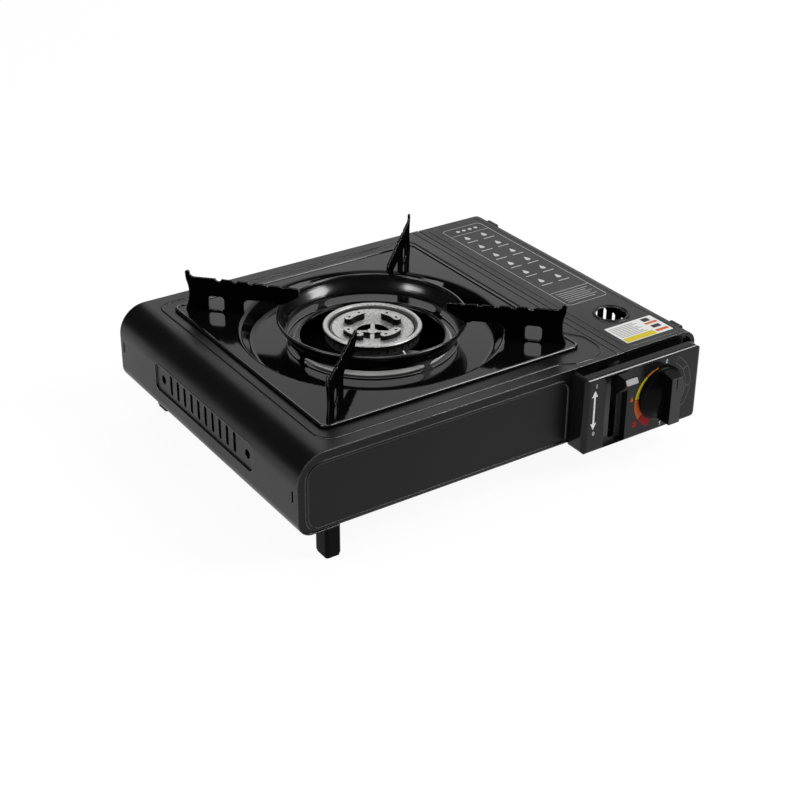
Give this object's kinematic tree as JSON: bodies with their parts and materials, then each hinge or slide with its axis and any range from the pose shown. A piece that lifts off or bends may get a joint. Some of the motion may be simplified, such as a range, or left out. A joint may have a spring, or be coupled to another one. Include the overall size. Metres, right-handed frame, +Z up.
{
  "type": "butane cassette stove",
  "caption": "Single burner tabletop gas stove: sheet steel body, square drip tray with wind ring and pan arms, hinged lid over a canister bay, knob and lock lever.",
  "frame": {"origin": "middle of the footprint at table height", "axes": "+X to the user's right over the canister lid, +Y away from the knob side, +Z up"},
  "size_m": [0.348, 0.3006, 0.1219],
  "materials": {
    "body_shell": "dark grey baked enamel, satin",
    "base_plate": "dark grey enamel",
    "right_wall": "dark grey enamel, satin",
    "front_plate": "dark grey enamel, satin",
    "rear_plate": "dark grey enamel, satin",
    "partition": "galvanised sheet",
    "bay_front_wall": "galvanised sheet",
    "control_box": "moulded casing with a glossy printed face",
    "foot_front_left": "moulded foot",
    "foot_rear_left": "moulded foot",
    "foot_front_right": "moulded foot",
    "foot_rear_right": "moulded foot",
    "hinge_lugs": "plated steel",
    "burner_bracket": "galvanised sheet",
    "mixing_tube": "aluminised steel tube",
    "burner_head": "black heat resistant coat",
    "burner_cap": "cast, fine grained face and polished rim",
    "gas_jet": "turned brass",
    "gas_pipe": "drawn copper tube",
    "pipe_nut": "turned brass",
    "valve_body": "die cast zinc",
    "diaphragm_cover": "pressed steel",
    "gas_inlet": "machined collar",
    "inlet_seal": "moulded seal",
    "piezo_body": "moulded block",
    "igniter_plunger": "moulded plunger",
    "electrode_insulator": null,
    "electrode_pin": "nickel wire",
    "electrode_bracket": "plated strip",
    "ignition_lead": "silicone sleeve",
    "lever_bracket": "galvanised sheet",
    "slide_guides": "galvanised sheet",
    "base_screws": "plated steel",
    "valve_screws": "plated steel",
    "knob": "fine satin moulding",
    "knob_spindle": "turned brass",
    "igniter_cam": "moulded cam",
    "lock_lever": "plated steel strip",
    "lever_shaft": "plated steel",
    "lever_handle": "moulded grip with a pale printed tip",
    "push_slide": "galvanised sheet",
    "push_pad": "moulded pad",
    "lid": "dark grey baked enamel, satin, with printed plate",
    "lid_pins": "plated steel",
    "drip_tray": "black vitreous enamel, glossy",
    "wind_ring": "black vitreous enamel, glossy",
    "arm_front_left": "black vitreous enamel, glossy",
    "arm_rear_left": "black vitreous enamel, glossy",
    "arm_front_right": "black vitreous enamel, glossy",
    "arm_rear_right": "black vitreous enamel, glossy"
  },
  "bodies": {
    "body": {"body_shell": "body_shell", "base_plate": "base_plate", "right_wall": "right_wall", "front_plate": "front_plate", "rear_plate": "rear_plate", "partition": "partition", "bay_front_wall": "bay_front_wall", "control_box": "control_box", "foot_front_left": "foot_front_left", "foot_rear_left": "foot_rear_left", "foot_front_right": "foot_front_right", "foot_rear_right": "foot_rear_right", "hinge_lugs": "hinge_lugs", "burner_bracket": "burner_bracket", "mixing_tube": "mixing_tube", "burner_head": "burner_head", "burner_cap": "burner_cap", "gas_jet": "gas_jet", "gas_pipe": "gas_pipe", "pipe_nut": "pipe_nut", "valve_body": "valve_body", "diaphragm_cover": "diaphragm_cover", "gas_inlet": "gas_inlet", "inlet_seal": "inlet_seal", "piezo_body": "piezo_body", "electrode_insulator": "electrode_insulator", "electrode_pin": "electrode_pin", "electrode_bracket": "electrode_bracket", "ignition_lead": "ignition_lead", "lever_bracket": "lever_bracket", "slide_guides": "slide_guides", "base_screws": "base_screws", "valve_screws": "valve_screws"},
    "knob": {"knob": "knob", "knob_spindle": "knob_spindle", "igniter_cam": "igniter_cam"},
    "lever": {"lock_lever": "lock_lever", "lever_shaft": "lever_shaft", "lever_handle": "lever_handle"},
    "pusher": {"push_slide": "push_slide", "push_pad": "push_pad"},
    "lid": {"lid": "lid", "lid_pins": "lid_pins"},
    "tray": {"drip_tray": "drip_tray", "wind_ring": "wind_ring", "arm_front_left": "arm_front_left", "arm_rear_left": "arm_rear_left", "arm_front_right": "arm_front_right", "arm_rear_right": "arm_rear_right"},
    "plunger": {"igniter_plunger": "igniter_plunger"}
  },
  "joints": [
    {"name": "knob_turn", "type": "hinge", "parent": "body", "child": "knob", "pos_m": [0.1263, -0.13375, 0.056], "axis": [0, -1, 0], "range_deg": [0, 150]},
    {"name": "igniter_push", "type": "slide", "parent": "body", "child": "plunger", "axis": [1, 0, 0], "range_m": [0, 0.004]},
    {"name": "lever_press", "type": "hinge", "parent": "body", "child": "lever", "pos_m": [0.0856, -0.08875, 0.057], "axis": [1, 0, 0], "range_deg": [0, 48]},
    {"name": "canister_push", "type": "slide", "parent": "body", "child": "pusher", "axis": [0, -1, 0], "range_m": [0, 0.00895]},
    {"name": "lid_hinge", "type": "hinge", "parent": "body", "child": "lid", "pos_m": [0.17, 0.01675, 0.076], "axis": [0, 1, 0], "range_deg": [0, 100]},
    {"name": "tray_lift", "type": "slide", "parent": "body", "child": "tray", "axis": [0, 0, 1], "range_m": [0, 0.06]}
  ],
  "couplings": [
    {"joint": "igniter_push", "follows": "knob_turn", "m_per_rad": 0.0015279},
    {"joint": "canister_push", "follows": "lever_press", "m_per_rad": 0.010681}
  ]
}
